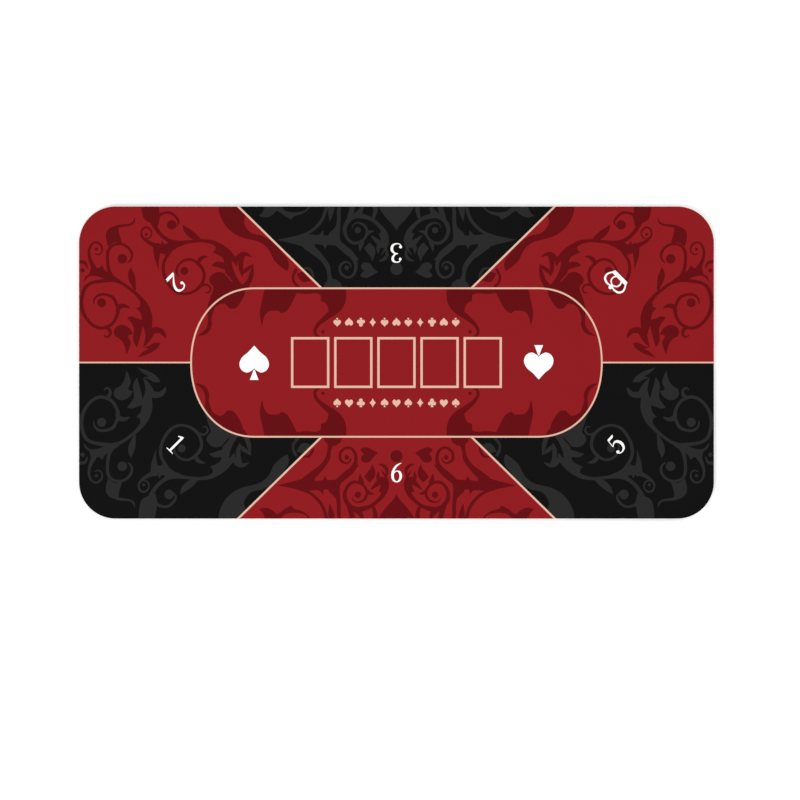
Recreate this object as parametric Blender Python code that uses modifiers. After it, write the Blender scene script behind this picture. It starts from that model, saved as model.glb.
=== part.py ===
"""Folding poker table top: two boards under one printed playing cloth, which is the hinge they fold on.

Metres, +Z up. The origin lies on the surface that the feet stand on, below the middle of the fold line.
+X runs along the long side, towards the right half, and +Y across the top, towards the far players.
The left half folds up and over onto the right half, printed face to printed face, like a game board.
"""

import math

import bmesh
import bpy
from mathutils import Matrix, Vector

# The open top
LENGTH = 1.200
WIDTH = 0.590
CORNER_RADIUS = 0.069
CLEARANCE = 0.0003  # between faces that touch on the real object

# Thickness of each layer, from the surface that the top stands on upwards
FOOT_HEIGHT = 0.005
LINER_THICKNESS = 0.0008
BOARD_THICKNESS = 0.008
FOAM_THICKNESS = 0.002
TAPE_THICKNESS = 0.0005
CLOTH_THICKNESS = 0.0008

# Height of each layer
LINER_BOTTOM = FOOT_HEIGHT + CLEARANCE
LINER_TOP = LINER_BOTTOM + LINER_THICKNESS
BOARD_BOTTOM = LINER_TOP + CLEARANCE
BOARD_TOP = BOARD_BOTTOM + BOARD_THICKNESS
FOAM_BOTTOM = BOARD_TOP + CLEARANCE
FOAM_TOP = FOAM_BOTTOM + FOAM_THICKNESS
CLOTH_BOTTOM = FOAM_TOP + CLEARANCE
CLOTH_TOP = CLOTH_BOTTOM + CLOTH_THICKNESS
FOLD_AXIS_HEIGHT = CLOTH_TOP + CLEARANCE

# The cloth wraps the boards' edges and ends in a hem glued under them
CLOTH_EDGE_RADIUS = 0.002
BOARD_INSET = CLOTH_THICKNESS + CLEARANCE
BOARD_EDGE_RADIUS = CLOTH_EDGE_RADIUS - BOARD_INSET
HEM_WIDTH = 0.018

# Distances from the fold line
BUTT_GAP = CLEARANCE / 2
WRAP_NOTCH = 0.002  # the cloth's wrapped edge is notched here, so that it can open as the top folds
FOAM_GUTTER = 0.004  # leaves room for the loop of cloth when the top is folded
LINER_GUTTER = 0.003
TAPE_HALF_WIDTH = 0.025
TAPE_END_INSET = 0.004

# Feet, four under each half
FOOT_FROM_FOLD = 0.060
FOOT_FROM_END = 0.060
FOOT_FROM_SIDE = 0.060
FOOT_RADIUS = 0.011
FOOT_BASE_RADIUS = 0.0095
FOOT_ROUNDING = 0.001
FOOT_RECESS_RADIUS = 0.0048
FOOT_WEB = 0.002

# The wood screw through each foot
SCREW_RADIUS = 0.00175
SCREW_HOLE_RADIUS = SCREW_RADIUS + CLEARANCE
SCREW_IN_BOARD = 0.006
SCREW_TIP_LENGTH = 0.0025
HEAD_RADIUS = 0.0036
HEAD_HEIGHT = 0.002
HEAD_CROWN = 0.0006
CROWN_RADIUS = 0.0027  # where the head's crown turns from steep to nearly flat
CROWN_DROP = 0.00015
SLOT_LENGTH = 0.0040
SLOT_WIDTH = 0.0009
SLOT_DEPTH = 0.0011
HOLE_BOTTOM_ROOM = 0.0005

# Fineness of round shapes
ARC_STEPS = 12
ROUNDING_STEPS = 2
FOOT_SEGMENTS = 28
SCREW_SEGMENTS = 16

MERGE_DISTANCE = 1e-6
SHARP_ANGLE = math.radians(30)

SIDES = {"left": -1, "right": 1}


def clear_scene():
    for old in list(bpy.data.objects):
        bpy.data.objects.remove(old)


def collection(name):
    made = bpy.data.collections.new(name)
    bpy.context.scene.collection.children.link(made)
    return made


def principled(name, colour, roughness, metallic=0.0):
    material = bpy.data.materials.new(name)
    material.use_nodes = True
    shader = material.node_tree.nodes["Principled BSDF"]
    shader.inputs["Base Color"].default_value = (*colour, 1.0)
    shader.inputs["Roughness"].default_value = roughness
    shader.inputs["Metallic"].default_value = metallic
    return material


def link(piece, group, material=None):
    group.objects.link(piece)
    if material:
        piece.data.materials.append(material)
    return piece


def as_cutter(piece, group):
    piece.hide_render = True
    piece.display_type = "WIRE"
    return link(piece, group)


def cut(piece, cutter):
    boolean = piece.modifiers.new("cut_" + cutter.name, "BOOLEAN")
    boolean.operation = "DIFFERENCE"
    boolean.solver = "EXACT"
    boolean.object = cutter


def applied_mesh(piece, name):
    """A new mesh with the piece's modifiers, or its curve's thickness, made real."""
    view = bpy.context.evaluated_depsgraph_get()
    mesh = bpy.data.meshes.new_from_object(piece.evaluated_get(view))
    mesh.name = name
    return mesh


def plate(name, outline, bottom, top, edge_radius=0.0):
    """A flat solid from a 2D outline, with its upper and lower rims rounded by edge_radius."""
    curve = bpy.data.curves.new(name, "CURVE")
    curve.dimensions = "2D"
    curve.fill_mode = "BOTH"
    curve.extrude = (top - bottom) / 2 - edge_radius
    curve.bevel_depth = edge_radius
    curve.bevel_resolution = ROUNDING_STEPS
    curve.offset = -edge_radius
    spline = curve.splines.new("POLY")
    spline.points.add(len(outline) - 1)
    for point, (x, y) in zip(spline.points, outline):
        point.co = (x, y, 0, 1)
    spline.use_cyclic_u = True
    flat = bpy.data.objects.new(name + "_outline", curve)
    flat.location.z = (top + bottom) / 2
    bpy.context.scene.collection.objects.link(flat)
    bpy.context.view_layer.update()
    mesh = applied_mesh(flat, name)
    mesh.transform(flat.matrix_world)
    bpy.data.objects.remove(flat)
    weld(mesh)
    return bpy.data.objects.new(name, mesh)


def weld(mesh):
    build = bmesh.new()
    build.from_mesh(mesh)
    bmesh.ops.remove_doubles(build, verts=build.verts, dist=MERGE_DISTANCE)
    bmesh.ops.recalc_face_normals(build, faces=build.faces)
    build.to_mesh(mesh)
    build.free()


def block(name, low, high):
    """A box between two opposite corners."""
    low, high = Vector(low), Vector(high)
    build = bmesh.new()
    bmesh.ops.create_cube(build, size=1)
    bmesh.ops.scale(build, vec=high - low, verts=build.verts)
    bmesh.ops.translate(build, vec=(low + high) / 2, verts=build.verts)
    mesh = bpy.data.meshes.new(name)
    build.to_mesh(mesh)
    build.free()
    return bpy.data.objects.new(name, mesh)


def turned(name, profile, segments):
    """A solid of revolution about Z, from (radius, height) points that run down its outer side."""
    build = bmesh.new()
    points = [build.verts.new((radius, 0, height)) for radius, height in profile]
    closed = profile[0][0] > 0
    for first, second in zip(points, points[1:] + (points[:1] if closed else [])):
        build.edges.new((first, second))
    mesh = bpy.data.meshes.new(name)
    build.to_mesh(mesh)
    build.free()
    piece = bpy.data.objects.new(name, mesh)
    screw = piece.modifiers.new("turn", "SCREW")
    screw.steps = segments
    screw.render_steps = segments
    screw.use_merge_vertices = True
    screw.merge_threshold = MERGE_DISTANCE
    return piece


def rounded_rectangle(inset):
    """Outline of the open top moved in by inset, anticlockwise from the far right corner."""
    half_x, half_y = LENGTH / 2 - inset, WIDTH / 2 - inset
    radius = CORNER_RADIUS - inset
    points = []
    for corner, (sign_x, sign_y) in enumerate(((1, 1), (-1, 1), (-1, -1), (1, -1))):
        centre_x, centre_y = sign_x * (half_x - radius), sign_y * (half_y - radius)
        for step in range(ARC_STEPS + 1):
            angle = (corner + step / ARC_STEPS) * math.pi / 2
            points.append((centre_x + radius * math.cos(angle), centre_y + radius * math.sin(angle)))
    return points


def fold_cutter(side, distance, cutters):
    """Takes away everything beyond the fold line, and within distance of it, from a piece of one half."""
    sign = SIDES[side]
    x_near, x_far = sorted((sign * distance, -sign * LENGTH))
    name = f"beyond_fold_{side}_{round(distance * 1e5)}"
    return as_cutter(block(name, (x_near, -WIDTH, -WIDTH), (x_far, WIDTH, WIDTH)), cutters)


def foot_places(side):
    """Centres of the four feet of one half, numbered from the fold outwards and from near to far."""
    xs = (FOOT_FROM_FOLD, LENGTH / 2 - FOOT_FROM_END)
    y = WIDTH / 2 - FOOT_FROM_SIDE
    return [(SIDES[side] * x, sign * y) for x in xs for sign in (-1, 1)]


def screw_hole_cutter(side, cutters):
    """The four blind pilot holes of one board, which also pass through its liner."""
    bottom, top = FOOT_HEIGHT / 2, BOARD_BOTTOM + SCREW_IN_BOARD + HOLE_BOTTOM_ROOM
    build = bmesh.new()
    for x, y in foot_places(side):
        bmesh.ops.create_cone(
            build, cap_ends=True, segments=SCREW_SEGMENTS,
            radius1=SCREW_HOLE_RADIUS, radius2=SCREW_HOLE_RADIUS, depth=top - bottom,
            matrix=Matrix.Translation((x, y, (top + bottom) / 2)),
        )
    mesh = bpy.data.meshes.new(f"screw_holes_{side}")
    build.to_mesh(mesh)
    build.free()
    return as_cutter(bpy.data.objects.new(mesh.name, mesh), cutters)


def make_board(side, material, parts, cutters):
    board = plate(f"{side}_board", rounded_rectangle(BOARD_INSET), BOARD_BOTTOM, BOARD_TOP, BOARD_EDGE_RADIUS)
    cut(board, fold_cutter(side, BUTT_GAP, cutters))
    cut(board, screw_hole_cutter(side, cutters))
    return link(board, parts, material)


def make_foam(side, material, parts, cutters):
    """The foam pad, thinner beside the fold where the hinge tape lies in it."""
    foam = plate(f"{side}_foam_pad", rounded_rectangle(BOARD_INSET), FOAM_BOTTOM, FOAM_TOP, BOARD_EDGE_RADIUS)
    reach = TAPE_HALF_WIDTH + CLEARANCE
    rebate = block(
        f"tape_rebate_{side}",
        (-reach, -WIDTH, FOAM_TOP - TAPE_THICKNESS - CLEARANCE), (reach, WIDTH, FOAM_TOP + FOAM_THICKNESS),
    )
    cut(foam, fold_cutter(side, FOAM_GUTTER, cutters))
    cut(foam, as_cutter(rebate, cutters))
    return link(foam, parts, material)


def make_cloth(side, material, parts, cutters):
    """One half of the playing cloth: the playing face, the edge it wraps and the hem under the board."""
    cloth = plate(f"playing_cloth_{side}", rounded_rectangle(0), LINER_BOTTOM, CLOTH_TOP, CLOTH_EDGE_RADIUS)
    hollow = plate(
        f"inside_cloth_{side}", rounded_rectangle(CLOTH_THICKNESS),
        LINER_TOP, CLOTH_BOTTOM, CLOTH_EDGE_RADIUS - CLOTH_THICKNESS,
    )
    opening = plate(f"inside_hem_{side}", rounded_rectangle(HEM_WIDTH), 0, BOARD_BOTTOM)
    notch = block(
        f"wrap_notch_{side}", (-WRAP_NOTCH, -WIDTH, 0), (WRAP_NOTCH, WIDTH, CLOTH_TOP - CLOTH_EDGE_RADIUS)
    )
    for cutter in (hollow, opening, notch):
        cut(cloth, as_cutter(cutter, cutters))
    cut(cloth, fold_cutter(side, BUTT_GAP, cutters))
    return link(cloth, parts, material)


def make_tape(side, material, parts):
    """One half of the woven tape that joins the two boards under the cloth."""
    sign, half_width = SIDES[side], WIDTH / 2 - TAPE_END_INSET
    x_low, x_high = sorted((sign * BUTT_GAP, sign * TAPE_HALF_WIDTH))
    tape = block(
        f"hinge_tape_{side}", (x_low, -half_width, FOAM_TOP - TAPE_THICKNESS), (x_high, half_width, FOAM_TOP)
    )
    return link(tape, parts, material)


def make_liner(side, material, parts, cutters):
    liner = plate(
        f"{side}_underside_liner", rounded_rectangle(HEM_WIDTH + CLEARANCE), LINER_BOTTOM, LINER_TOP
    )
    cut(liner, fold_cutter(side, LINER_GUTTER, cutters))
    cut(liner, screw_hole_cutter(side, cutters))
    return link(liner, parts, material)


def rounded_corner(centre_radius, centre_height, radius, start, end):
    """Profile points round a corner, from angle start to angle end, in quarter turns."""
    angles = [(start + (end - start) * step / ROUNDING_STEPS) * math.pi / 2 for step in range(ROUNDING_STEPS + 1)]
    return [(centre_radius + radius * math.cos(a), centre_height + radius * math.sin(a)) for a in angles]


def foot_mesh():
    """A rubber foot, tapered towards the floor, with a recess below that hides the screw's head."""
    recess_top = FOOT_HEIGHT - FOOT_WEB
    profile = [
        (SCREW_HOLE_RADIUS, FOOT_HEIGHT),
        (FOOT_RADIUS, FOOT_HEIGHT),
        *rounded_corner(FOOT_BASE_RADIUS - FOOT_ROUNDING, FOOT_ROUNDING, FOOT_ROUNDING, 0, -1),
        (FOOT_RECESS_RADIUS, 0),
        (FOOT_RECESS_RADIUS, recess_top),
        (SCREW_HOLE_RADIUS, recess_top),
    ]
    master = turned("foot", profile, FOOT_SEGMENTS)
    return finished_mesh(master, [])


def screw_mesh():
    """A pan-head wood screw, point up, with a cross recess in its head."""
    under_head = FOOT_HEIGHT - FOOT_WEB - CLEARANCE
    tip = BOARD_BOTTOM + SCREW_IN_BOARD
    crown_start = under_head - HEAD_HEIGHT + HEAD_CROWN
    profile = [
        (0, tip),
        (SCREW_RADIUS, tip - SCREW_TIP_LENGTH),
        (SCREW_RADIUS, under_head),
        (HEAD_RADIUS, under_head),
        (HEAD_RADIUS, crown_start),
        (CROWN_RADIUS, under_head - HEAD_HEIGHT + CROWN_DROP),
        (0, under_head - HEAD_HEIGHT),
    ]
    arm, half = SLOT_LENGTH / 2, SLOT_WIDTH / 2
    quarter = [(arm, half), (half, half), (half, arm)]
    cross = []
    for turn in range(4):
        turned_points = [Matrix.Rotation(turn * math.pi / 2, 2) @ Vector(p) for p in quarter]
        cross.extend((p.x, p.y) for p in turned_points)
    recess = plate("cross_recess", cross, 0, under_head - HEAD_HEIGHT + SLOT_DEPTH)
    return finished_mesh(turned("foot_screw", profile, SCREW_SEGMENTS), [recess])


def finished_mesh(master, cutters):
    """The master's mesh with its turning and cuts made real, so that its copies can share it."""
    scene_objects = bpy.context.scene.collection.objects
    for piece in (master, *cutters):
        scene_objects.link(piece)
    for cutter in cutters:
        cut(master, cutter)
    bpy.context.view_layer.update()
    mesh = applied_mesh(master, master.name)
    weld(mesh)
    mesh.shade_smooth()
    mesh.set_sharp_from_angle(angle=SHARP_ANGLE)
    for piece in (master, *cutters):
        bpy.data.objects.remove(piece)
    return mesh


def make_feet(side, foot, screw, parts):
    """Four feet and their screws, each its own object on a shared mesh."""
    made = []
    for number, (x, y) in enumerate(foot_places(side), start=1):
        for name, mesh in (("foot", foot), ("foot_screw", screw)):
            piece = bpy.data.objects.new(f"{side}_{name}_{number}", mesh)
            piece.location = (x, y, 0)
            made.append(link(piece, parts))
    return made


def main():
    clear_scene()
    parts = collection("folding_poker_table_top")
    cutters = collection("cutters")
    board_fibre = principled("board_fibre", (0.42, 0.29, 0.17), 0.75)
    pad_foam = principled("pad_foam", (0.05, 0.05, 0.05), 0.9)
    printed_cloth = principled("printed_cloth", (0.28, 0.013, 0.017), 0.8)
    woven_tape = principled("woven_tape", (0.02, 0.02, 0.02), 0.85)
    liner_felt = principled("liner_felt", (0.02, 0.02, 0.022), 0.95)
    foot_rubber = principled("foot_rubber", (0.015, 0.015, 0.015), 0.7)
    screw_steel = principled("screw_steel", (0.62, 0.62, 0.60), 0.35, metallic=1.0)

    foot, screw = foot_mesh(), screw_mesh()
    foot.materials.append(foot_rubber)
    screw.materials.append(screw_steel)

    halves = {}
    for side in SIDES:
        halves[side] = [
            make_board(side, board_fibre, parts, cutters),
            make_foam(side, pad_foam, parts, cutters),
            make_tape(side, woven_tape, parts),
            make_cloth(side, printed_cloth, parts, cutters),
            make_liner(side, liner_felt, parts, cutters),
            *make_feet(side, foot, screw, parts),
        ]

    fold_axis = bpy.data.objects.new("fold_axis", None)
    fold_axis.location.z = FOLD_AXIS_HEIGHT
    parts.objects.link(fold_axis)
    bpy.context.view_layer.update()
    for piece in halves["left"]:
        piece.parent = fold_axis
        piece.matrix_parent_inverse = fold_axis.matrix_world.inverted()


main()
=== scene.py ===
"""Looks of the folding poker table top: its printed cloth, and the layers and feet under it.

Metres, +Z up, in the frame's own axes: +X along the long side, +Y across it towards the far
players, and the fold line along Y at X 0. The print is drawn here as flat outlines, and the cloth's
face is divided along them, with one material for each ink.
"""

import math

import bmesh
import bpy
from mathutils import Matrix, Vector
from mathutils.bvhtree import BVHTree
from mathutils.geometry import delaunay_2d_cdt, tessellate_polygon


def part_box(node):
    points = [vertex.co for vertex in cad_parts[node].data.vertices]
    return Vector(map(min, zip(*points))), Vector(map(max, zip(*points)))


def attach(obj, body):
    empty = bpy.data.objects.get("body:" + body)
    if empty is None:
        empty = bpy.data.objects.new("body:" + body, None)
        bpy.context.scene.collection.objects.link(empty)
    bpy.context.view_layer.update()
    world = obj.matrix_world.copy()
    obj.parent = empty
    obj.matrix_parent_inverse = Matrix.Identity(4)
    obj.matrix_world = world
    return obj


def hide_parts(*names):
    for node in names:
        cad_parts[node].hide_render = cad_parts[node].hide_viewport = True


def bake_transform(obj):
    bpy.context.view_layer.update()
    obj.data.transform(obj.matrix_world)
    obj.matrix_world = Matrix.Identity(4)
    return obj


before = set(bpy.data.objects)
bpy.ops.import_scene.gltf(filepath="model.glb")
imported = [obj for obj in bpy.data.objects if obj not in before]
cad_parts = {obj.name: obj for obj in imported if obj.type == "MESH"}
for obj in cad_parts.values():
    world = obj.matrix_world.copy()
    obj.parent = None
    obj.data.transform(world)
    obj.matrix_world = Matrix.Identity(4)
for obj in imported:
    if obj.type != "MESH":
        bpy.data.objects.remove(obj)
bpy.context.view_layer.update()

MM = 0.001
SIDES = {"left": -1, "right": 1}
BODIES = {"left": "left_half", "right": "right_half"}
FEET = [f"{side}_foot_{number}" for side in SIDES for number in range(1, 5)]

# The cloth, as the CAD model has it
CLOTH_LOW, CLOTH_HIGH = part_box("playing_cloth_right")
LENGTH = 2 * CLOTH_HIGH.x
WIDTH = 2 * CLOTH_HIGH.y
CLOTH_TOP = CLOTH_HIGH.z
CLOTH_BOTTOM = CLOTH_LOW.z
CORNER_RADIUS = 0.069
CLOTH_THICKNESS = 0.0008
EDGE_RADIUS = 0.002
HEM_WIDTH = 0.018
FOLD_ZONE = 0.002  # the cloth and its tape bend within this distance of the fold line
FOLD_LINES = 8  # rows of points in each half of the fold zone
MERGE_DISTANCE = 0.00004  # points of the print closer than this become one
CORNER_STEPS = 30  # edges of the cloth round each corner

# The layers under it
GAP = 0.0003
TAPE_HALF_WIDTH = 0.025
TAPE_THICKNESS = 0.0005
SELVEDGE = 0.0015  # the tape's thicker rim
TAPE_BODY = 0.8  # the tape's thickness between its selvedges, as a share of theirs
SCREW_HOLE_RADIUS = 0.00205
SMOOTH_ANGLE = math.radians(50)  # faces that meet at less than this look like one surface

# The printed layout
OVAL_LINE = 0.0032  # widths of the printed lines
SLANT_LINE = 0.0037
DIVIDER_LINE = 0.0029
BOX_LINE = 0.0044
OVAL_HALF = (0.388, 0.1403)
OVAL_END = 0.121  # length of each rounded end, which takes up the oval's whole width
OVAL_SQUARENESS = 2.12  # 2 would be a half ellipse
DIAGONAL_FOOT = 0.1415  # where the slanting lines leave the oval
DIAGONAL_RUN = 1.02  # how far they go outwards for each step towards the edge
CARD_BOX = (0.068, 0.0918)
CARD_PITCH = 0.0815
CARD_COUNT = 5
SPADE_X = 0.2688
SPADE_RISE = 0.0004
SPADE_HEIGHT = 0.0648
DIGIT_HEIGHT = 0.037
SEATS = (  # numeral, x, y and the degrees that it is turned by
    (6, 0.0, -0.208, 0), (3, 0.0, 0.207, 180), (1, -0.416, -0.154, -45),
    (2, -0.416, 0.151, -135), (5, 0.415, -0.155, 45),
)
CROWN_WIDTH = 0.043
CROWN_SEAT = (135, 0.414, 0.152)  # its turn in degrees, x and y
PIP_ROW_Y = 0.076
PIP_PITCH = 0.0224
PIP_HEIGHT = 0.0165
BLEED = 0.035  # how far the print runs on past the outline, over the wrapped edge
THIN_END = 0.002  # a drawn line that ends no wider than this gets no round end
CURVE_STEPS = 5  # straight pieces between two points of a drawn curve

# The camera's view at the height of the playing face, and the studio
VIEW_WIDTH = 1.5116
VIEW_CENTRE = (0.0067, -0.0708)
FLOOR_HALF = 20.0
FLOOR_GLOW = 0.16
WORLD_STRENGTH = 0.56
LIGHTS = (  # name, place, diameter and watts
    ("key_light", (-1.3, -1.5, 3.0), 2.4, 66),
    ("fill_light", (1.5, 1.3, 3.2), 2.6, 52),
)


# ---- Flat drawing: outlines are lists of 2D points in metres ----


def through(points, steps=7):
    """A smooth curve through points of any dimension: a Catmull-Rom spline."""
    ends = [points[0], *points, points[-1]]
    made = []
    for a, b, c, d in zip(ends, ends[1:], ends[2:], ends[3:]):
        for step in range(steps):
            t = step / steps
            made.append(tuple(
                0.5 * (
                    2 * q + (r - p) * t + (2 * p - 5 * q + 4 * r - s) * t**2
                    + (3 * q - p - 3 * r + s) * t**3
                )
                for p, q, r, s in zip(a, b, c, d)
            ))
    return made + [tuple(points[-1])]


def anticlockwise(outline):
    area = sum(a[0] * b[1] - b[0] * a[1] for a, b in zip(outline, outline[1:] + outline[:1]))
    return outline if area > 0 else outline[::-1]


def disc(x, y, radius, steps=20):
    """A round face, alone in a list as all faces are."""
    turns = (2 * math.pi * i / steps for i in range(steps))
    return [[(x + radius * math.cos(t), y + radius * math.sin(t)) for t in turns]]


def strip(line):
    """Small faces that cover a line of (x, y, width) points, and round its two ends."""
    sides = []
    for i, (x, y, width) in enumerate(line):
        before, after = line[max(i - 1, 0)], line[min(i + 1, len(line) - 1)]
        along = Vector((after[0] - before[0], after[1] - before[1])).normalized()
        across = Vector((-along.y, along.x)) * max(width, 0.3 * MM) / 2
        sides.append((Vector((x, y)) + across, Vector((x, y)) - across))
    made = []
    for (a, b), (c, d) in zip(sides, sides[1:]):
        made += [anticlockwise([tuple(p) for p in face]) for face in ((a, b, d), (a, d, c))]
    for x, y, width in (line[0], line[-1]):
        if width > THIN_END:
            made += disc(x, y, width / 2, 10)
    return made


def rectangle(width, height, x=0.0, y=0.0):
    w, h = width / 2, height / 2
    return [[(x - w, y - h), (x + w, y - h), (x + w, y + h), (x - w, y + h)]]


def rounded_rectangle(half_x, half_y, radius, steps):
    points = []
    for corner, (sx, sy) in enumerate(((1, 1), (-1, 1), (-1, -1), (1, -1))):
        for step in range(steps + 1):
            angle = (corner + step / steps) * math.pi / 2
            points.append((
                sx * (half_x - radius) + radius * math.cos(angle),
                sy * (half_y - radius) + radius * math.sin(angle),
            ))
    return points


def ring(outer, inner):
    """The band between two outlines that have the same number of points."""
    n = len(outer)
    pairs = ((i, (i + 1) % n) for i in range(n))
    return [
        anticlockwise([outer[i], outer[j], inner[j], inner[i]])
        for i, j in pairs if math.dist(outer[i], outer[j]) > 1e-6
    ]


def moved(faces, scale=1.0, turn=0.0, x=0.0, y=0.0, flip_x=1, flip_y=1):
    """Faces scaled, mirrored, turned by a number of degrees and then shifted, in that order."""
    c, s = math.cos(math.radians(turn)), math.sin(math.radians(turn))
    made = []
    for face in faces:
        points = [(px * scale * flip_x, py * scale * flip_y) for px, py in face]
        turned = [(px * c - py * s + x, px * s + py * c + y) for px, py in points]
        made.append(anticlockwise(turned))
    return made


# ---- Suits, numerals and the crown: one unit high, or wide for the crown, and centred ----

def mirrored(side):
    """A face from its right side, whose points at x 0 aren't doubled."""
    return [anticlockwise(side + [(-x, y) for x, y in side[::-1] if x > 0])]


def lobed(width, height, tip, cusp):
    """A heart or spade body: a tip, two round lobes and the cusp between them."""
    return mirrored(through([
        (0, tip), (0.20 * width, tip - 0.24 * height), (0.41 * width, tip - 0.44 * height),
        (0.50 * width, tip - 0.68 * height), (0.43 * width, tip - 0.90 * height),
        (0.25 * width, tip - 1.0 * height), (0.09 * width, tip - 0.93 * height), (0, cusp),
    ], CURVE_STEPS))


def suit_stem(top, bottom, top_width, bottom_width):
    """The flared foot of a spade or club."""
    waist = (0.33 * bottom_width, (top + 2 * bottom) / 3)
    return mirrored(through([(top_width / 2, top), waist, (bottom_width / 2, bottom)]))


def spade():
    return lobed(0.86, 0.785, 0.5, 0.5 - 0.66) + suit_stem(-0.2, -0.5, 0.03, 0.26)


def heart():
    return moved(lobed(0.92, 0.90, 0.5, 0.5 - 0.72), turn=180, y=-0.03)


def diamond():
    quarter = through([(0, 0.52), (0.15, 0.22), (0.37, 0.0)], steps=4)
    return mirrored(quarter + [(x, -y) for x, y in quarter[-2::-1]])


def club():
    lobes = disc(0, 0.27, 0.22) + disc(-0.24, -0.08, 0.22) + disc(0.24, -0.08, 0.22)
    return lobes + rectangle(0.18, 0.3, 0, 0.05) + suit_stem(0.0, -0.5, 0.06, 0.34)


def stroke(*points):
    """A line of varying width, from (x, y, width) points in hundredths of a unit."""
    return strip(through([(x / 100, y / 100, w / 100) for x, y, w in points]))


def blob(x, y, radius):
    return disc(x / 100, y / 100, radius / 100)


def straight(*points):
    return [anticlockwise([(x / 100, y / 100) for x, y in points])]


NUMERALS = {
    1: straight((-5.5, -46), (5.5, -46), (5.5, 50), (-1, 50), (-21, 38), (-21, 33), (-5.5, 38))
    + straight((-22, -50), (22, -50), (22, -46.5), (8, -44), (-8, -44), (-22, -46.5)),
    2: stroke(
        (-24, 20, 5), (-20, 38, 7), (-2, 47, 7), (18, 40, 11), (24, 24, 13), (17, 2, 11),
        (-2, -22, 7), (-22, -42, 4),
    ) + blob(-19, 21, 7.5) + straight((-27, -50), (26, -50), (29, -33), (23, -35), (-18, -36)),
    3: stroke(
        (-23, 31, 4), (-15, 43, 6), (0, 47, 6), (16, 40, 11), (19, 25, 12), (9, 9, 7), (-6, 3, 4),
    ) + stroke(
        (-6, 3, 4), (11, 0, 8), (23, -16, 13), (19, -38, 11), (1, -47, 6), (-16, -45, 5),
        (-25, -33, 4),
    ) + blob(-19, 31, 7) + blob(-21, -31, 7.5),
    5: straight((-17, 36), (15, 38), (23, 50), (-14, 48))
    + stroke((-15, 44, 4), (-18, 20, 4), (-19, 4, 4)) + stroke(
        (-19, 3, 4), (-3, 13, 7), (14, 9, 12), (24, -13, 14), (17, -38, 11), (-2, -47, 6),
        (-18, -44, 5), (-24, -34, 4),
    ) + blob(-20, -33, 8),
    6: stroke(
        (25, 49, 2), (7, 40, 7), (-11, 20, 11), (-20, -8, 13), (-16, -35, 11), (0, -47, 6),
        (16, -38, 10), (22, -17, 13), (16, 2, 10), (3, 8, 5), (-9, 2, 4), (-16, -10, 3),
    ),
}


def crown():
    """A plain crown: a solid band, open arches and a ball on top."""
    outer = stroke(
        (37, -26, 6), (47, -10, 7), (51, 6, 8), (43, 22, 9), (25, 29, 8), (10, 27, 6), (0, 20, 5)
    )
    inner = stroke((13, -26, 6), (22, -6, 6), (17, 11, 6), (0, 20, 5))
    faces = straight((-38, -36), (38, -36), (44, -19), (-44, -19)) + blob(0, 32, 8.5)
    for flip_x in (1, -1):
        faces += moved(outer + inner, flip_x=flip_x)
    return faces


# ---- Scrollwork: the far left quarter of it, in millimetres from the middle of the top ----

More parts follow.
